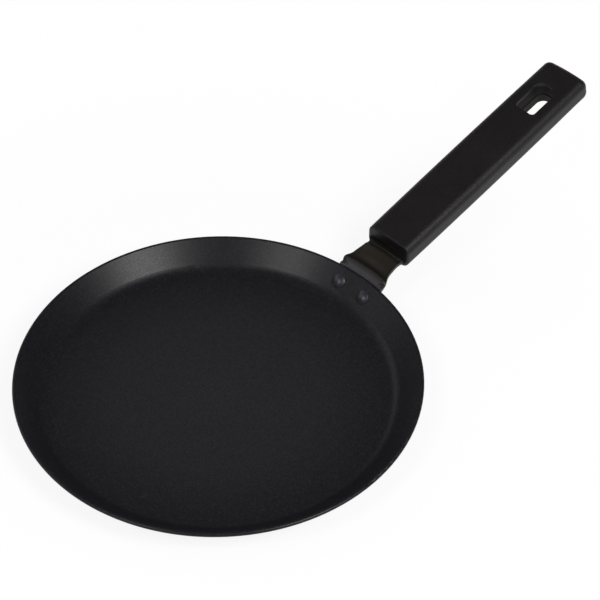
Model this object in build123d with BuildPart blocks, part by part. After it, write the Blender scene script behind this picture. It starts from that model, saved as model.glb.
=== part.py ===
from build123d import *
import os
from math import asin, cos, degrees, radians, sin, tan

# A 22 cm crepe pan on a table. The origin is the middle of its underside, Z is up
# and the handle points along X. Lengths are in millimetres, angles in degrees.

# Pan body: a pressed aluminium dish with a thick flat floor and a flared wall.
pan_diameter = 220.0  # over the rim at its widest
rim_height = 15.7  # of that widest circle above the table
floor_thickness = 4.5
wall_thickness = 2.4
wall_slope = 42.0  # above the level floor
inner_corner_radius = 10.0
outer_corner_radius = 8.0

# Induction disc: perforated steel pressed flush into the underside, its holes
# filled by pegs of the pan's own metal.
disc_diameter = 150.0
disc_thickness = 0.6
peg_diameter = 4.0
peg_ring_pitch = 11.5
peg_edge_margin = 5.0  # of bare steel between the outer pegs and the disc's edge
pegs_per_ring_step = 6

# Rivets: heads inside the wall, flattened tails outside the foot.
rivet_spacing = 18.4
rivet_depth = 4.3  # of the heads' centres below the rim's widest circle
rivet_shank = 5.0
rivet_clearance = 0.1
rivet_head_diameter = 8.0
rivet_head_height = 1.7
rivet_head_brim = 0.35
rivet_tail_diameter = 8.0
rivet_tail_height = 1.5

# Handle bracket: one pressed steel piece. Its foot lies on the outside of the wall
# and rolls over above the rim into a lip. Behind the lip's valley the neck rises
# to the grip and leads to the tang. Rises are above the rim's widest circle.
foot_thickness = 2.0
foot_width = 31.6
foot_drop = 11.0  # of the foot's lower end below the rim's widest circle
foot_bottom_width = 24.0
foot_bottom_radius = 6.0
lip_radius = 1.6  # of the lip's roll
neck_lead = 0.05  # of the first section ahead of the lip's side edges
neck_run = 16.9  # of the last section ahead of the shank, behind the first
neck_rise = 8.0  # of the crest there
neck_crown = 1.9
neck_skirt = 1.8  # of the plain side edge of lip and neck
neck_run_shares = (0.0, 0.14, 0.28, 0.43, 0.57, 0.71, 0.85, 1.0)
neck_width_shares = (1.0, 1.0, 0.97, 0.88, 0.84, 0.82, 0.80, 0.79)  # of the foot's
neck_rise_shares = (0.42, 0.48, 0.56, 0.48, 0.65, 0.80, 0.91, 1.0)
neck_crown_shares = (1.5, 1.1, 0.52, -0.1, 0.2, 0.55, 0.8, 1.0)
neck_mouth_width = 25.2
neck_mouth_crown = 2.2
neck_skin = 2.0  # of metal over the hollow under the neck
neck_side = 3.0  # of metal beside that hollow
shank_lead = 0.3  # of the straight part ahead of the grip's nose
shank_length = 8.0  # of that straight part
shank_drop = 6.2  # of its crest below the grip's top
tang_width = 18.0
tang_thickness = 2.0
tang_drop = 6.8  # of its upper face below the grip's top
tang_reach = 58.0  # of its end behind the mouth
tang_end_radius = 5.0

# Grip: a hard core in a soft sleeve, set at a slope from the mouth.
grip_slope = 12.8
mouth_reach = 21.8  # of the grip's mouth from the rim's widest circle
mouth_rise = 15.55  # of the grip's top edge at the mouth above that circle
grip_length = 154.8
grip_thickness = 15.0
grip_mouth_width = 30.2
grip_middle_width = 31.3
grip_end_width = 30.4
grip_end_bow = 0.5
grip_crown = 0.5
grip_corner_radius = 4.2
grip_top_radius = 4.8
grip_bottom_radius = 5.4
grip_mouth_radius = 1.2
sleeve_wall = 2.0
sleeve_front_wall = 4.0
core_edge_radius = 2.0
nose_wall = 0.6  # of the core's nose round the shank
nose_proud = 0.8  # of that nose ahead of the sleeve
tang_clearance = 0.2

# Hanging hole near the grip's end, lined by the core below the sleeve's edge.
hole_end_room = 17.4  # from the hole to the grip's end
hole_length = 22.3
hole_width = 13.5
hole_near_radius = 2.2
hole_far_radius = 5.4
hole_lip_radius = 0.6
hole_step = 0.4  # of the lining's lower half, inward
hole_step_drop = 9.5
hole_ring_wall = 1.4  # of the core's ring that shows at the underside

# Grip screws: pan heads with spring washers, from below into the tang.
screw_diameter = 4.0
screw_clearance = 0.4
screw_reach = 2.6  # of the screw's end above the tang
screw_end_room = 0.5
screw_head_diameter = 8.0
screw_head_height = 2.2
screw_slot_length = 4.4
screw_slot_width = 1.0
screw_slot_depth = 1.2
screw_web = 1.4  # of the core between the tang and a washer
screw_pocket_diameter = 8.8
first_screw = 20.0  # from the mouth
second_screw = 46.0
washer_diameter = 7.4
washer_thickness = 0.9
washer_gap = 1.0
screw_end_chamfer = 0.5
screw_head_radius = 1.2

overrun = 2.0  # of every cutting shape past what it cuts

# The wall's direction, and the middle of its rounded rim.
pan_radius = pan_diameter / 2
run, rise = cos(radians(wall_slope)), sin(radians(wall_slope))
half_wall = wall_thickness / 2
rim_r = pan_radius - half_wall


def on_wall(height, depth):
    """Radius of the cone that lies depth outside the wall's inner face."""
    inner_r, inner_z = rim_r - rise * half_wall, rim_height + run * half_wall
    return inner_r + depth / rise + (height - inner_z) * run / rise


# Rivets: each stands square to the wall, its origin on the wall's inner face.

rivet_z = rim_height - rivet_depth
rivet_r = on_wall(rivet_z, 0)
rivet_turn = degrees(asin(rivet_spacing / 2 / rivet_r))
rivet_grip = wall_thickness + foot_thickness


def rivet_plane(side):
    """The plane square to a rivet, on the wall's inner face and facing the bowl."""
    turn = radians(side * rivet_turn)
    outward = Vector(cos(turn), sin(turn), 0)
    along = Vector(-sin(turn), cos(turn), 0)
    facing = outward * -rise + Vector(0, 0, run)
    return Plane(origin=outward * rivet_r + Vector(0, 0, rivet_z), x_dir=along, z_dir=facing)


rivet_planes = [rivet_plane(side) for side in (-1, 1)]

with BuildPart() as rivet:
    with BuildSketch(Plane.XZ):
        with BuildLine():
            brim = (rivet_head_diameter / 2, rivet_head_brim)
            Polyline(
                (0, rivet_head_height),
                (0, -rivet_grip - rivet_tail_height),
                (rivet_tail_diameter / 2, -rivet_grip - rivet_tail_height),
                (rivet_tail_diameter / 2, -rivet_grip),
                (rivet_shank / 2, -rivet_grip),
                (rivet_shank / 2, 0),
                (rivet_head_diameter / 2, 0),
                brim,
            )
            TangentArc((0, rivet_head_height), brim, tangent=(1, 0))
        make_face()
    revolve(axis=Axis.Z)
    tail = rivet.faces().sort_by(Axis.Z)[0]
    chamfer(tail.edges(), length=rivet_tail_height / 4)

with BuildPart() as rivets:
    for plane in rivet_planes:
        add(rivet.part.moved(plane.location))

with BuildPart() as rivet_holes:
    for plane in rivet_planes:
        with BuildSketch(plane.offset(overrun)):
            Circle(rivet_shank / 2 + rivet_clearance)
        extrude(amount=-rivet_grip - 2 * overrun)

# Pan body

peg_reach = disc_diameter / 2 - peg_edge_margin - peg_diameter / 2

with BuildSketch() as disc_face:
    Circle(disc_diameter / 2)
    Circle(peg_diameter / 2, mode=Mode.SUBTRACT)
    for ring in range(1, int(peg_reach / peg_ring_pitch) + 1):
        with PolarLocations(ring * peg_ring_pitch, ring * pegs_per_ring_step):
            Circle(peg_diameter / 2, mode=Mode.SUBTRACT)

with BuildPart() as pan_body:
    with BuildSketch(Plane.XZ):
        with BuildLine():
            rim_inner = (rim_r - rise * half_wall, rim_height + run * half_wall)
            rim_tip = (rim_r + run * half_wall, rim_height + rise * half_wall)
            rim_outer = (rim_r + rise * half_wall, rim_height - run * half_wall)
            FilletPolyline(
                (0, floor_thickness),
                (on_wall(floor_thickness, 0), floor_thickness),
                rim_inner,
                radius=inner_corner_radius,
            )
            ThreePointArc(rim_inner, rim_tip, rim_outer)
            FilletPolyline(
                rim_outer,
                (on_wall(0, wall_thickness), 0),
                (0, 0),
                radius=outer_corner_radius,
            )
            Line((0, 0), (0, floor_thickness))
        make_face()
    revolve(axis=Axis.Z)
    # Recess for the disc, with the pegs left standing in it.
    extrude(disc_face.sketch, amount=disc_thickness, mode=Mode.SUBTRACT)
    # Holes for the rivets, and the flats that their heads press into the wall.
    add(rivet_holes.part, mode=Mode.SUBTRACT)
    add(rivets.part, mode=Mode.SUBTRACT)

# Induction disc

with BuildPart() as induction_disc:
    extrude(disc_face.sketch, amount=disc_thickness)

# The grip's own frame: X runs along the grip, Z is square to its top, and the
# origin is the middle of the top edge at the mouth.
mouth_x = pan_radius + mouth_reach
grip_origin = Vector(mouth_x, 0, rim_height + mouth_rise)
grip_axis = Vector(cos(radians(grip_slope)), 0, sin(radians(grip_slope)))
grip_up = Vector(-sin(radians(grip_slope)), 0, cos(radians(grip_slope)))
grip_top = Plane(origin=grip_origin, x_dir=grip_axis, z_dir=grip_up)
lean = tan(radians(grip_slope))  # of the upright mouth, per length across the grip


def grip_section(distance):
    """The plane across the grip at a distance from the mouth, facing its far end."""
    return Plane(origin=grip_origin + grip_axis * distance, x_dir=(0, 1, 0), z_dir=grip_axis)


def arch(width, crest, crown, skirt):
    """Arched outline whose crown falls away with the square of the share of its width."""
    half, edge = width / 2, crest - crown
    shares = (-1, -0.75, -0.5, -0.25, 0, 0.25, 0.5, 0.75, 1)
    with BuildSketch() as outline:
        with BuildLine():
            Spline(*[(half * s, edge + crown * (1 - s * s)) for s in shares])
            Polyline((half, edge), (half, edge - skirt), (-half, edge - skirt), (-half, edge))
        make_face()
    return outline.sketch


# Handle bracket

foot_low_z = rim_height - foot_drop
foot_low_r = on_wall(foot_low_z, wall_thickness)
foot_turn = degrees(asin(foot_width / 2 / foot_low_r))
lip_edge_z = rim_height + neck_rise * neck_rise_shares[0] - neck_crown * neck_crown_shares[0]
lip_side_x = (on_wall(lip_edge_z, wall_thickness) ** 2 - (foot_width / 2) ** 2) ** 0.5
neck_start = lip_side_x - neck_lead

shank_foot_drop = shank_drop + neck_mouth_crown + neck_skirt
shank_start = -shank_foot_drop * lean - nose_proud - shank_lead
core_front = Plane.YZ.offset(mouth_x + sleeve_front_wall)
nose_front = Plane.YZ.offset(mouth_x - nose_proud)


def shank_arch(room):
    """The shank's outline, wider by some room all round."""
    width = neck_mouth_width + 2 * room
    return arch(width, room - shank_drop, neck_mouth_crown, neck_skirt + 2 * room)


def tang_block(room):
    """The flat tang with its rounded end, wider by some room all round."""
    with BuildPart() as block:
        with BuildSketch(grip_top.offset(room - tang_drop)):
            Rectangle(tang_reach + room, tang_width + 2 * room, align=(Align.MIN, Align.CENTER))
            fillet(vertices().group_by(Axis.X)[-1], radius=tang_end_radius)
        extrude(amount=-tang_thickness - 2 * room)
    return block.part


def grip_plan(distances):
    """Places on the grip's top in the middle of its width, turned along the grip."""
    return [grip_top * Pos(distance, 0, 0) for distance in distances]


screw_places = grip_plan((first_screw, second_screw))

neck_sections = zip(neck_run_shares, neck_width_shares, neck_rise_shares, neck_crown_shares)

with BuildPart() as neck:
    for run_share, width_share, rise_share, crown_share in neck_sections:
        with BuildSketch(Plane.YZ.offset(neck_start + neck_run * run_share)):
            crest = rim_height + neck_rise * rise_share
            add(arch(foot_width * width_share, crest, neck_crown * crown_share, neck_skirt))
    with BuildSketch(grip_section(shank_start)):
        add(shank_arch(0))
    loft()

with BuildPart() as neck_hollow:
    hollow_width = neck_mouth_width - 2 * neck_side
    with BuildSketch(Plane.YZ.offset(neck_start + neck_run)):
        crest = rim_height + neck_rise - neck_skin
        add(arch(hollow_width, crest, neck_crown / 2, neck_skirt + overrun))
    with BuildSketch(grip_section(shank_start)):
        add(arch(hollow_width, -shank_drop - neck_skin, neck_mouth_crown / 2, neck_skirt + overrun))
    loft()

with BuildPart() as handle_bracket:
    # Foot: a band turned about the pan's axis, up to the lip's lowest edge, trimmed
    # to the outline that it has when seen along the handle.
    with BuildSketch(Plane.XZ.rotated((0, 0, -foot_turn))):
        with BuildLine():
            Polyline(
                (foot_low_r - overrun * rise, foot_low_z + overrun * run),
                (on_wall(lip_edge_z, wall_thickness - overrun), lip_edge_z),
                (on_wall(lip_edge_z, rivet_grip), lip_edge_z),
                (foot_low_r + foot_thickness * rise, foot_low_z - foot_thickness * run),
                close=True,
            )
        make_face()
    revolve(axis=Axis.Z, revolution_arc=2 * foot_turn)
    with BuildSketch(Plane.YZ.offset(foot_low_r - foot_width)):
        with BuildLine():
            Polyline(
                (-foot_width / 2, lip_edge_z),
                (foot_width / 2, lip_edge_z),
                (foot_width / 2, lip_edge_z - neck_skirt),
                (foot_bottom_width / 2, foot_low_z - foot_thickness),
                (-foot_bottom_width / 2, foot_low_z - foot_thickness),
                (-foot_width / 2, lip_edge_z - neck_skirt),
                close=True,
            )
        make_face()
        fillet(vertices().group_by(Axis.Y)[0], radius=foot_bottom_radius)
    extrude(amount=2 * foot_width, mode=Mode.INTERSECT)
    add(neck.part)
    # The front of foot and lip follows the wall's outside, carried on above the rim.
    with BuildSketch(Plane.XZ):
        with BuildLine():
            low_z, high_z = foot_low_z - foot_thickness, rim_height + neck_rise
            Polyline(
                (0, low_z),
                (on_wall(low_z, wall_thickness), low_z),
                (on_wall(high_z, wall_thickness), high_z),
                (0, high_z),
                close=True,
            )
        make_face()
    revolve(axis=Axis.Z, mode=Mode.SUBTRACT)
    lip_edge = handle_bracket.edges(Select.LAST).sort_by(Axis.Z)[-1]
    fillet(lip_edge, radius=lip_radius)
    add(neck_hollow.part, mode=Mode.SUBTRACT)
    with BuildSketch(grip_section(shank_start)):
        add(shank_arch(0))
    extrude(amount=shank_length)
    add(tang_block(0))
    with Locations(*screw_places):
        Hole(screw_diameter / 2)
    add(rivet_holes.part, mode=Mode.SUBTRACT)

# Grip


def grip_block(inset, front, top_radius, bottom_radius):
    """The grip's rounded block, smaller by an inset and cut off upright at its front."""
    near = -grip_thickness * lean - bottom_radius - overrun
    far = grip_length - inset
    mouth_y, middle_y, end_y = (
        width / 2 - inset for width in (grip_mouth_width, grip_middle_width, grip_end_width)
    )
    with BuildPart() as block:
        with BuildSketch(grip_top.offset(-inset)):
            with BuildLine():
                ThreePointArc((near, mouth_y), (far / 2, middle_y), (far - grip_end_bow, end_y))
                ThreePointArc((far - grip_end_bow, end_y), (far, 0), (far - grip_end_bow, -end_y))
                ThreePointArc((far - grip_end_bow, -end_y), (far / 2, -middle_y), (near, -mouth_y))
                Line((near, -mouth_y), (near, mouth_y))
            make_face()
            fillet(vertices().group_by(Axis.X)[-1], radius=grip_corner_radius - inset)
        extrude(amount=-grip_thickness + 2 * inset)
        with BuildSketch(grip_section(near - overrun)):
            with BuildLine():
                top_y, low_y = -inset, inset - grip_thickness - overrun
                edge_y = top_y - grip_crown
                ThreePointArc((-middle_y, edge_y), (0, top_y), (middle_y, edge_y))
                Polyline((middle_y, edge_y), (middle_y, low_y), (-middle_y, low_y), (-middle_y, edge_y))
            make_face()
        extrude(amount=2 * grip_length, mode=Mode.INTERSECT)
        flats = block.faces().sort_by(Axis(grip_origin, grip_up))
        fillet(flats[-1].edges(), radius=top_radius)
        flats = block.faces().sort_by(Axis(grip_origin, grip_up))
        fillet(flats[0].edges(), radius=bottom_radius)
        split(bisect_by=front, keep=Keep.TOP)
    return block.part


hole_middle = grip_length - hole_end_room - hole_length / 2


def hole_block(step, top_drop, low_drop):
    """The hanging hole's shape between two depths, smaller all round by a step."""
    with BuildPart() as block:
        with BuildSketch(grip_top.offset(-top_drop) * Pos(hole_middle, 0, 0)):
            Rectangle(hole_length - 2 * step, hole_width - 2 * step)
            fillet(vertices().group_by(Axis.X)[0], radius=max(hole_near_radius - step, hole_near_radius / 2))
            fillet(vertices().group_by(Axis.X)[-1], radius=hole_far_radius - step)
        extrude(amount=top_drop - low_drop)
    return block.part


def below(drop):
    """Planes square to the grip's underside at the screws, some depth below its top."""
    return [place * Pos(0, 0, -drop) for place in screw_places]


# Grip core: its nose surrounds the shank, and it holds the tang and lines the hole.

pocket_drop = tang_drop + tang_thickness + tang_clearance + screw_web
screw_end_drop = tang_drop - screw_reach
nose_room = tang_clearance + nose_wall
outer_block = grip_block(0, Plane.YZ.offset(mouth_x), grip_top_radius, grip_bottom_radius)

with BuildPart() as nose:
    with BuildSketch(grip_section(shank_start - overrun)):
        add(shank_arch(nose_room))
    extrude(amount=sleeve_front_wall + sleeve_wall - shank_start + overrun)
    split(bisect_by=nose_front, keep=Keep.TOP)

with BuildPart() as hole_ring:
    add(hole_block(-hole_ring_wall, grip_thickness / 2, grip_thickness))

with BuildPart() as screw_pockets:
    with Locations(*below(grip_thickness + overrun)):
        Cylinder(
            screw_pocket_diameter / 2,
            grip_thickness + overrun - pocket_drop,
            align=(Align.CENTER, Align.CENTER, Align.MIN),
        )

with BuildPart() as grip_core:
    add(grip_block(sleeve_wall, core_front, core_edge_radius, core_edge_radius))
    add(nose.part)
    add(hole_ring.part)
    core_envelope = grip_core.part
    # Room for the shank and the tang.
    with BuildSketch(grip_section(shank_start - overrun)):
        add(shank_arch(tang_clearance))
    extrude(amount=shank_length + overrun + tang_clearance, mode=Mode.SUBTRACT)
    add(tang_block(tang_clearance), mode=Mode.SUBTRACT)
    # The hanging hole, with its lower half a step narrower.
    add(hole_block(0, -overrun, hole_step_drop), mode=Mode.SUBTRACT)
    add(hole_block(hole_step, hole_step_drop, grip_thickness + overrun), mode=Mode.SUBTRACT)
    # Room for the screws, their washers and their heads.
    add(screw_pockets.part, mode=Mode.SUBTRACT)
    with Locations(*below(pocket_drop + overrun)):
        Cylinder(
            (screw_diameter + screw_clearance) / 2,
            pocket_drop + overrun - screw_end_drop + screw_end_room,
            align=(Align.CENTER, Align.CENTER, Align.MIN),
            mode=Mode.SUBTRACT,
        )

# Grip sleeve

with BuildPart() as grip_sleeve:
    add(outer_block)
    mouth_face = grip_sleeve.faces().sort_by(Axis.X)[0]
    fillet(mouth_face.edges(), radius=grip_mouth_radius)
    add(hole_block(0, -overrun, grip_thickness + overrun), mode=Mode.SUBTRACT)
    hole_edges = grip_sleeve.edges(Select.LAST)
    lip = hole_edges.filter_by_position(Axis(grip_origin, grip_up), -2 * grip_crown, grip_crown)
    fillet(lip, radius=hole_lip_radius)
    add(core_envelope, mode=Mode.SUBTRACT)
    add(screw_pockets.part, mode=Mode.SUBTRACT)

# Grip screws: each stands on the underside of its washer, its origin on the axis.

with BuildPart() as grip_screw:
    Cylinder(
        screw_diameter / 2,
        washer_thickness + pocket_drop - screw_end_drop,
        align=(Align.CENTER, Align.CENTER, Align.MIN),
    )
    chamfer(grip_screw.edges().sort_by(Axis.Z)[-1], length=screw_end_chamfer)
    Cylinder(
        screw_head_diameter / 2,
        screw_head_height,
        align=(Align.CENTER, Align.CENTER, Align.MAX),
    )
    fillet(grip_screw.edges().sort_by(Axis.Z)[0], radius=screw_head_radius)
    with BuildSketch(Plane.XY.offset(-screw_head_height)):
        with Locations((0, 0, 0)):
            Rectangle(screw_slot_length, screw_slot_width)
            Rectangle(screw_slot_width, screw_slot_length)
    extrude(amount=screw_slot_depth, mode=Mode.SUBTRACT)

with BuildPart() as spring_washer:
    with BuildSketch():
        Circle(washer_diameter / 2)
        Circle((screw_diameter + screw_clearance) / 2, mode=Mode.SUBTRACT)
        with Locations((0, washer_diameter / 2)):
            Rectangle(washer_gap, washer_diameter, mode=Mode.SUBTRACT)
    extrude(amount=washer_thickness)

with BuildPart() as grip_screws:
    for place in below(pocket_drop + washer_thickness):
        add(grip_screw.part.moved(place))

with BuildPart() as spring_washers:
    for place in below(pocket_drop + washer_thickness):
        add(spring_washer.part.moved(place))

pan_body.part.label = "pan_body"
induction_disc.part.label = "induction_disc"
rivets.part.label = "rivets"
handle_bracket.part.label = "handle_bracket"
grip_core.part.label = "grip_core"
grip_sleeve.part.label = "grip_sleeve"
grip_screws.part.label = "grip_screws"
spring_washers.part.label = "spring_washers"

os.makedirs("parts", exist_ok=True)
export_step(pan_body.part, "parts/pan_body.step")
export_step(induction_disc.part, "parts/induction_disc.step")
export_step(rivets.part, "parts/rivets.step")
export_step(handle_bracket.part, "parts/handle_bracket.step")
export_step(grip_core.part, "parts/grip_core.step")
export_step(grip_sleeve.part, "parts/grip_sleeve.step")
export_step(grip_screws.part, "parts/grip_screws.step")
export_step(spring_washers.part, "parts/spring_washers.step")
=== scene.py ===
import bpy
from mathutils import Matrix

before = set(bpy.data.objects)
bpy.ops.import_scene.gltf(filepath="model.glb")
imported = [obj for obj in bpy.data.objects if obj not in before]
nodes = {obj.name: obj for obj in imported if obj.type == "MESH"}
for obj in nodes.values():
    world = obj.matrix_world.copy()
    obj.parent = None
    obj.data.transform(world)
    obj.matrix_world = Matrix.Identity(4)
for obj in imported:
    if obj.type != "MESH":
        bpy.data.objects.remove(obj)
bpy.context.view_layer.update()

import math

import bpy
import numpy as np
from mathutils import Matrix, Vector

mm = 0.001
print("crepe pan: frame loaded,", len(nodes), "nodes")


# Camera: where the photographer stood. Turn is counted from straight along the Y
# axis, height above the horizon, both in degrees; aim and distance in millimetres.
cameraSet = {
    "turn": -45.46,
    "height": 44.66,
    "roll": 0.27,
    "aim": (72.7, 10.7, 15.7),
    "distance": 1325.0,
    "lens": 144.0,
    "sensor": 36.0,
    "clip": (0.05, 30),  # metres
}


def towards(turn, height):
    # unit vector from the object out to a place given by its turn and its height
    a, e = math.radians(turn), math.radians(height)
    return Vector((math.sin(a) * math.cos(e), -math.cos(a) * math.cos(e), math.sin(e)))


def makeCamera(s):
    back = towards(s["turn"], s["height"])
    turn, roll = math.radians(s["turn"]), math.radians(s["roll"])
    right = Vector((math.cos(turn), math.sin(turn), 0))
    up = back.cross(right)
    # the roll turns right and up round the line of sight
    tiltedRight = right * math.cos(roll) + up * math.sin(roll)
    tiltedUp = up * math.cos(roll) - right * math.sin(roll)
    data = bpy.data.cameras.new("camera")
    data.lens, data.sensor_width = s["lens"], s["sensor"]
    data.clip_start, data.clip_end = s["clip"]
    camera = bpy.data.objects.new("camera", data)
    place = Vector(s["aim"]) * mm + back * s["distance"] * mm
    turned = Matrix((tiltedRight, tiltedUp, back)).transposed().to_4x4()
    camera.matrix_world = Matrix.Translation(place) @ turned
    bpy.context.scene.collection.objects.link(camera)
    bpy.context.scene.camera = camera


makeCamera(cameraSet)
bpy.context.scene.view_settings.view_transform = "Standard"
print("crepe pan: camera placed")


# Materials: what all of them are made with.
def fromHex(text):
    # sRGB hex to linear, with full alpha
    parts = [int(text[i:i + 2], 16) / 255 for i in (1, 3, 5)]
    return tuple(p / 12.92 if p <= 0.04045 else ((p + 0.055) / 1.055) ** 2.4 for p in parts) + (1.0,)


def fillRamp(band, stops):
    # a colour ramp takes its list of (place, hex) stops
    while len(band.elements) < len(stops):
        band.elements.new(0.5)
    for element, (place, colour) in zip(band.elements, stops):
        element.position, element.color = place, fromHex(colour)


def addNode(tree, kind, settings=None, **links):
    # one node with its settings; an input is a number, a colour or another node's
    # output, and in0, in1 and so on count the inputs of a node that repeats its names
    node = tree.nodes.new(kind)
    for name, value in (settings or {}).items():
        if name == "stops":
            fillRamp(node.color_ramp, value)
        else:
            setattr(node, name, value)
    for name, value in links.items():
        counted = name.startswith("in") and name[2:].isdigit()
        socket = node.inputs[int(name[2:]) if counted else name.replace("_", " ")]
        if isinstance(value, bpy.types.NodeSocket):
            tree.links.new(value, socket)
        else:
            socket.default_value = value
    return node


def ofSize(pattern):
    # a noise's pitch in mm as Blender's scale, and how many finer layers it has
    return {"Scale": 1 / (pattern["pitch"] * mm), "Detail": pattern["detail"]}


def freshMaterial(name):
    material = bpy.data.materials.new(name)
    material.use_nodes = True
    tree = material.node_tree
    place = addNode(tree, "ShaderNodeTexCoord").outputs["Object"]
    return material, tree, tree.nodes["Principled BSDF"], place


def fromAxis(tree, place):
    # distance from the pan's axis: the length of the place without its height
    flat = addNode(tree, "ShaderNodeVectorMath", {"operation": "MULTIPLY"}, in0=place, in1=(1, 1, 0))
    length = addNode(tree, "ShaderNodeVectorMath", {"operation": "LENGTH"}, in0=flat.outputs["Vector"])
    return length.outputs["Value"]


def tonesBy(tree, distance, tones, zero=0.0):
    # the colour at a distance in metres, from tones whose own distances are in mm and
    # start at zero, also in mm
    near, far = tones[0][0], tones[-1][0]
    share = addNode(
        tree, "ShaderNodeMapRange", Value=distance, From_Min=(near + zero) * mm, From_Max=(far + zero) * mm
    )
    stops = [((at - near) / (far - near), colour) for at, colour in tones]
    return addNode(tree, "ShaderNodeValToRGB", {"stops": stops}, Fac=share.outputs["Result"]).outputs["Color"]


def shadedBy(tree, colour, grain, spread):
    # a colour made darker and paler by a grain, from the first share of it to the second
    shade = addNode(tree, "ShaderNodeMapRange", Value=grain, To_Min=spread[0], To_Max=spread[1])
    scale = addNode(
        tree, "ShaderNodeVectorMath", {"operation": "SCALE"}, in0=colour, Scale=shade.outputs["Result"]
    )
    return scale.outputs["Vector"]


def finishSurface(tree, shader, s, colour, gloss, relief=None):
    # colour, roughness and relief of a surface, and what is the same all over it; the
    # roughness goes from its first value to its second as gloss goes from 0 to 1
    tree.links.new(colour, shader.inputs["Base Color"])
    start, end = s["roughness"]
    rough = addNode(tree, "ShaderNodeMapRange", Value=gloss, To_Min=start, To_Max=end)
    tree.links.new(rough.outputs["Result"], shader.inputs["Roughness"])
    if relief is not None:
        strength, depth = s["relief"]["strength"], s["relief"]["depth"] * mm
        bump = addNode(tree, "ShaderNodeBump", Strength=strength, Distance=depth, Height=relief)
        tree.links.new(bump.outputs["Normal"], shader.inputs["Normal"])
    for name, value in s["allOver"].items():
        shader.inputs[name].default_value = value


def dress(nodeName, material):
    # the CAD node keeps its mesh and takes the finished material
    slots = nodes[nodeName].data.materials
    slots.clear()
    slots.append(material)


# Non-stick coating on pressed aluminium: PTFE sprayed in coats and baked, with mica
# flakes in it. A soft black, satin rather than glossy, with painted light: paler in the
# middle of the floor and darker on the walls, and painted glints on flakes by their tilt.
coating = {
    # colour by distance from the pan's axis, in mm; paler in the middle and darker on the walls is painted
    # light
    "tones": [(0, "#232325"), (55, "#202022"), (85, "#18181b"), (97, "#151518"), (110, "#151518")],
    "flakePitch": 0.6,  # mm, drawn coarser than real so that it shows
    "flakeSpread": (0.78, 1.22),  # of the tone, from the darkest flake to the palest: painted glints by each flake's tilt
    "fleck": "#242428",  # painted glints on the flakes that lie flattest
    "fleckShare": 0.18,
    "roughness": (0.39, 0.33),
    "pebble": {"pitch": 0.9, "detail": 2.0},  # mm, the sprayed coat's skin
    "relief": {"strength": 0.5, "depth": 0.012},  # mm
    "allOver": {"IOR": 1.35, "Specular IOR Level": 0.42},
}


def coatingMaterial(s):
    material, tree, shader, place = freshMaterial("nonstickCoating")
    # painted light: the tone is paler in the middle of the floor and darker on the walls
    toneAndPaintedLight = tonesBy(tree, fromAxis(tree, place), s["tones"])
    flakes = addNode(tree, "ShaderNodeTexVoronoi", Vector=place, Scale=1 / (s["flakePitch"] * mm))
    # a flake's random colour stands for its tilt, painted as a glint, and each channel is used once
    tilt = addNode(tree, "ShaderNodeSeparateColor", Color=flakes.outputs["Color"])
    mottled = shadedBy(tree, toneAndPaintedLight, tilt.outputs["Red"], s["flakeSpread"])
    flat = addNode(tree, "ShaderNodeMapRange", Value=tilt.outputs["Green"], From_Min=1 - s["fleckShare"])
    flat, fleck = flat.outputs["Result"], fromHex(s["fleck"])
    colour = addNode(tree, "ShaderNodeMix", {"data_type": "RGBA"}, in0=flat, in6=mottled, in7=fleck)
    pebble = addNode(tree, "ShaderNodeTexNoise", Vector=place, **ofSize(s["pebble"]))
    finishSurface(tree, shader, s, colour.outputs[2], tilt.outputs["Blue"], pebble.outputs["Fac"])
    return material


dress("pan_body", coatingMaterial(coating))
print("crepe pan: coating on the pan body")


# Rivets: aluminium, coated with the pan after they are set, so they are nearly as
# black as the bowl but rub a little brighter in places.
rivetFinish = {
    "tones": [(0.35, "#2b2b30"), (0.75, "#414148")],  # coated, rubbed
    "grain": {"pitch": 0.8, "detail": 4.0},
    "roughness": (0.43, 0.31),
    "relief": {"strength": 0.4, "depth": 0.02},
    "allOver": {"Metallic": 0.45},
}

# Screws and washers: steel, zinc plated and clear passivated. Pale, slightly blue, a
# little cloudy.
zincPlate = {
    "tones": [(0.3, "#8d9096"), (0.7, "#c3c6cc")],
    "grain": {"pitch": 1.5, "detail": 4.0},
    "roughness": (0.27, 0.41),
    "allOver": {"Metallic": 1.0},
}


def grainyMetal(name, s):
    # one noise gives the metal's tone, its gloss and, where it has one, its relief
    material, tree, shader, place = freshMaterial(name)
    grain = addNode(tree, "ShaderNodeTexNoise", Vector=place, **ofSize(s["grain"])).outputs["Fac"]
    tone = addNode(tree, "ShaderNodeValToRGB", {"stops": s["tones"]}, Fac=grain)
    finishSurface(tree, shader, s, tone.outputs["Color"], grain, grain if "relief" in s else None)
    return material


dress("rivets", grainyMetal("coatedRivetAluminium", rivetFinish))
zinc = grainyMetal("zincPlatedSteel", zincPlate)
dress("grip_screws", zinc)
dress("spring_washers", zinc)
print("crepe pan: finish on rivets, screws and washers")


# Handle bracket: pressed steel in baked gunmetal paint. Smooth and satin, blue-grey
# and paler on the lip, brown-grey along the neck, with painted shade in the lip's valley
# and where the neck enters the grip.
bracketPaintAndShade = {
    # colour by distance from the pan's axis, in mm: lip, valley in painted shade, neck, grip's mouth in
    # painted shade
    "tones": [
        (108, "#313136"), (112.2, "#3b3a3f"),
        (113.6, "#2a2725"), (115.2, "#171513"),
        (118, "#26221d"), (123, "#2b2620"), (129.4, "#27221d"),
        (130.2, "#0b0a0a"), (133, "#090909"),
    ],
    "cloud": {"pitch": 5, "detail": 4.0},
    "cloudSpread": (0.85, 1.15),  # of the tone
    "peel": {"pitch": 1.2, "detail": 1.0},  # orange peel of the baked paint
    "roughness": (0.43, 0.33),
    "relief": {"strength": 0.5, "depth": 0.010},
    "allOver": {"Metallic": 0.5},
}


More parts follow.
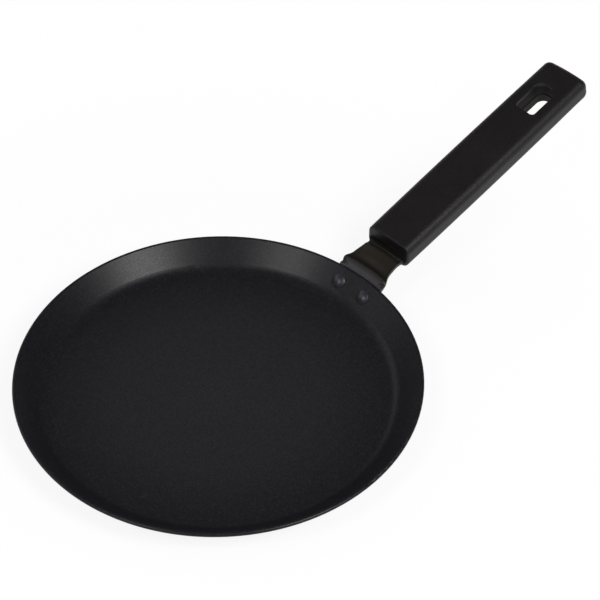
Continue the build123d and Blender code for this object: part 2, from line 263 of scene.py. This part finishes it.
def bracketMaterial(s):
    material, tree, shader, place = freshMaterial("gunmetalPaintAndPaintedShade")
    # painted shade: the tones go darkest in the lip's valley and at the grip's mouth
    tone = tonesBy(tree, fromAxis(tree, place), s["tones"])
    cloud = addNode(tree, "ShaderNodeTexNoise", Vector=place, **ofSize(s["cloud"])).outputs["Fac"]
    peel = addNode(tree, "ShaderNodeTexNoise", Vector=place, **ofSize(s["peel"])).outputs["Fac"]
    finishSurface(tree, shader, s, shadedBy(tree, tone, cloud, s["cloudSpread"]), cloud, peel)
    return material


dress("handle_bracket", bracketMaterial(bracketPaintAndShade))


# Grip sleeve: thermoplastic rubber moulded over the core, sand-blasted mould, so a
# matt fine grain that catches light in a broad soft band.
sleeveRubber = {
    "tones": [(0.3, "#120f11"), (0.75, "#191618")],
    "cloud": {"pitch": 25, "detail": 3.0},
    "grain": {"pitch": 0.6, "detail": 2.0},  # mm, drawn coarser than real so that it shows
    "grainSpread": (0.0, 2.0),  # of the tone
    "roughness": (0.39, 0.53),
    "relief": {"strength": 0.6, "depth": 0.3},
    "allOver": {"Specular IOR Level": 0.30},
}


def sleeveMaterial(s):
    material, tree, shader, place = freshMaterial("softTouchRubber")
    cloud = addNode(tree, "ShaderNodeTexNoise", Vector=place, **ofSize(s["cloud"])).outputs["Fac"]
    grain = addNode(tree, "ShaderNodeTexNoise", Vector=place, **ofSize(s["grain"])).outputs["Fac"]
    tone = addNode(tree, "ShaderNodeValToRGB", {"stops": s["tones"]}, Fac=cloud).outputs["Color"]
    finishSurface(tree, shader, s, shadedBy(tree, tone, grain, s["grainSpread"]), grain, grain)
    return material


dress("grip_sleeve", sleeveMaterial(sleeveRubber))


# Grip core: glass-filled nylon, as moulded, satin, a greenish dark grey and a little
# cloudy. Painted shade makes it nearly black high in the hanging hole, where it meets the
# sleeve, and round the neck at the grip's mouth; deeper in the hole it is paler.
coreNylon = {
    "gripSlope": 12.8,  # degrees
    "topHeight": 1.27,  # mm from the origin to the plane of the grip's top
    # colour by depth below the grip's top, in mm; nearly black high in the hole is painted shade
    "tones": [(2.0, "#0a0a0a"), (6.0, "#0d0e0d"), (9.0, "#151614"), (9.8, "#22241f"), (13.0, "#1c1e1a")],
    "mouthShadeTone": "#070707",
    "mouthReach": (140, 150),  # mm along the handle, where the mouth's painted shade gives way
    "cloud": {"pitch": 1.6, "detail": 5.0},
    "cloudSpread": (0.75, 1.3),  # of the tone
    "roughness": (0.59, 0.69),
    "relief": {"strength": 0.3, "depth": 0.03},
    "allOver": {"Specular IOR Level": 0.16},
}


def coreMaterial(s):
    material, tree, shader, place = freshMaterial("glassFilledNylon")
    slope = math.radians(s["gripSlope"])
    into = (math.sin(slope), 0, -math.cos(slope))  # square to the grip's top, into the grip
    depth = addNode(tree, "ShaderNodeVectorMath", {"operation": "DOT_PRODUCT"}, in0=place, in1=into)
    # painted shade: nearly black high in the hanging hole, paler deeper down
    hole = tonesBy(tree, depth.outputs["Value"], s["tones"], zero=-s["topHeight"])
    along = addNode(tree, "ShaderNodeSeparateXYZ", Vector=place).outputs["X"]
    start, end = s["mouthReach"]
    behind = addNode(tree, "ShaderNodeMapRange", Value=along, From_Min=start * mm, From_Max=end * mm)
    # painted shade: nearly black round the neck at the grip's mouth
    behind, mouth = behind.outputs["Result"], fromHex(s["mouthShadeTone"])
    tone = addNode(tree, "ShaderNodeMix", {"data_type": "RGBA"}, in0=behind, in6=mouth, in7=hole).outputs[2]
    cloud = addNode(tree, "ShaderNodeTexNoise", Vector=place, **ofSize(s["cloud"])).outputs["Fac"]
    finishSurface(tree, shader, s, shadedBy(tree, tone, cloud, s["cloudSpread"]), cloud, cloud)
    return material


dress("grip_core", coreMaterial(coreNylon))
print("crepe pan: finish on bracket and grip")


# Induction disc: ferritic stainless steel, faced on a lathe, so fine rings round the
# middle that draw the light into a soft bow tie.
discSteel = {
    "tones": [(0.3, "#8b8883"), (0.7, "#b9b6b0")],
    "rings": {"pitch": 0.45, "detail": 3.0},
    "roughness": (0.26, 0.40),
    "relief": {"strength": 0.5, "depth": 0.006},
    "allOver": {"Metallic": 1.0},
}


def discMaterial(s):
    material, tree, shader, place = freshMaterial("turnedStainless")
    radius, size = fromAxis(tree, place), ofSize(s["rings"])
    rings = addNode(tree, "ShaderNodeTexNoise", {"noise_dimensions": "1D"}, W=radius, **size).outputs["Fac"]
    tone = addNode(tree, "ShaderNodeValToRGB", {"stops": s["tones"]}, Fac=rings)
    finishSurface(tree, shader, s, tone.outputs["Color"], rings, rings)
    return material


dress("induction_disc", discMaterial(discSteel))
print("crepe pan: every CAD node has its finish")


# Studio: a pale floor and backdrop, two softboxes to the camera's right and left, and
# a wide white card behind the pan. Turns and heights are as the camera's, sizes,
# reaches and distances in metres.
studio = {
    "floorReach": 6.0,
    "floorDrop": 0.1,  # mm
    "paper": "#fafafa",
    "paperRoughness": 0.9,
    "white": "#ffffff",
    "floorGlow": (0.88, 0.985),  # near the pan and away from it
    "glowReach": (0.16, 0.27),  # from the pan's axis
    "skyFade": 0.07,  # how high the white backdrop reaches, as the Z of a ray's direction
    "skyDim": 0.10,  # above it, in reflections
    "skyLevel": 0.28,  # of the light that it gives
    "lampAim": (0.05, 0, 0.02),
    "lamps": {
        "softboxRight": {"turn": 1, "height": 46, "distance": 1.5, "size": (0.5, 0.6), "watts": 15},
        "softboxLeft": {"turn": -91, "height": 47, "distance": 1.5, "size": (0.4, 0.5), "watts": 6.2},
        "whiteCard": {"turn": -163, "height": 34, "distance": 1.6, "size": (2.0, 0.55), "watts": 3.4},
    },
}


def raysOf(tree, *kinds):
    # 1 for rays of any of the kinds named, 0 for all others
    rays = addNode(tree, "ShaderNodeLightPath").outputs
    found = rays[kinds[0]]
    for kind in kinds[1:]:
        either = addNode(tree, "ShaderNodeMath", {"operation": "MAXIMUM"}, in0=found, in1=rays[kind])
        found = either.outputs["Value"]
    return found


def floorMaterial(s):
    # white paper that rays from the camera and from gloss meet as nearly plain white
    material, tree, shader, place = freshMaterial("palePaperFloor")
    shader.inputs["Base Color"].default_value = fromHex(s["paper"])
    shader.inputs["Roughness"].default_value = s["paperRoughness"]
    glow = addNode(tree, "ShaderNodeEmission", Color=fromHex(s["white"]), Strength=1.0)
    seen = raysOf(tree, "Is Camera Ray", "Is Glossy Ray", "Is Transmission Ray")
    away = addNode(tree, "ShaderNodeVectorMath", {"operation": "LENGTH"}, in0=place).outputs["Value"]
    (start, end), (nearGlow, farGlow) = s["glowReach"], s["floorGlow"]
    level = addNode(
        tree, "ShaderNodeMapRange", Value=away, From_Min=start, From_Max=end, To_Min=nearGlow, To_Max=farGlow
    )
    share = addNode(tree, "ShaderNodeMath", {"operation": "MULTIPLY"}, in0=seen, in1=level.outputs["Result"])
    share, lit = share.outputs["Value"], shader.outputs["BSDF"]
    paper = addNode(tree, "ShaderNodeMixShader", Fac=share, in1=lit, in2=glow.outputs["Emission"])
    # seen from below the floor is clear, so that the pan's underside can be looked at
    below = addNode(tree, "ShaderNodeNewGeometry").outputs["Backfacing"]
    clear = addNode(tree, "ShaderNodeBsdfTransparent").outputs["BSDF"]
    sided = addNode(tree, "ShaderNodeMixShader", Fac=below, in1=paper.outputs["Shader"], in2=clear)
    tree.links.new(sided.outputs["Shader"], tree.nodes["Material Output"].inputs["Surface"])
    return material


def makeFloor(s):
    # a level square, two by two corners, a hair below the pan's underside
    corners = np.array([(-1, -1, 0), (1, -1, 0), (1, 1, 0), (-1, 1, 0)], float) * s["floorReach"]
    corners[:, 2] = -s["floorDrop"] * mm
    mesh = bpy.data.meshes.new("floor")
    mesh.from_pydata(corners.tolist(), [], [(0, 1, 2, 3)])
    floor = bpy.data.objects.new("floor", mesh)
    bpy.context.scene.collection.objects.link(floor)
    mesh.materials.append(floorMaterial(s))


def makeWorld(s):
    # the camera sees white; reflections meet white low down that darkens overhead, and
    # the light on the object is dim
    world = bpy.data.worlds.new("studioWorld")
    bpy.context.scene.world = world
    world.use_nodes = True
    tree = world.node_tree
    back = tree.nodes["Background"]
    way = addNode(tree, "ShaderNodeTexCoord").outputs["Generated"]
    rise = addNode(tree, "ShaderNodeSeparateXYZ", Vector=way).outputs["Z"]
    top, dim = s["skyFade"], s["skyDim"]
    fade = addNode(tree, "ShaderNodeMapRange", Value=rise, From_Max=top, To_Min=1.0, To_Max=dim)
    gloss = raysOf(tree, "Is Glossy Ray", "Is Transmission Ray")
    level = addNode(tree, "ShaderNodeMix", in0=gloss, in2=s["skyLevel"], in3=fade.outputs["Result"])
    seen = raysOf(tree, "Is Camera Ray")
    strength = addNode(tree, "ShaderNodeMix", in0=seen, in2=level.outputs[0], in3=1.0)
    tree.links.new(strength.outputs[0], back.inputs["Strength"])
    back.inputs["Color"].default_value = fromHex(s["white"])


def makeLamps(s):
    aim = Vector(s["lampAim"])
    for name, lamp in s["lamps"].items():
        data = bpy.data.lights.new(name, "AREA")
        data.shape = "RECTANGLE"
        data.size, data.size_y = lamp["size"]
        data.energy = lamp["watts"]
        out = towards(lamp["turn"], lamp["height"])
        light = bpy.data.objects.new(name, data)
        light.location = aim + out * lamp["distance"]
        light.rotation_mode = "QUATERNION"
        light.rotation_quaternion = (-out).to_track_quat("-Z", "Y")
        bpy.context.scene.collection.objects.link(light)


makeFloor(studio)
makeWorld(studio)
makeLamps(studio)
print("crepe pan: studio built")
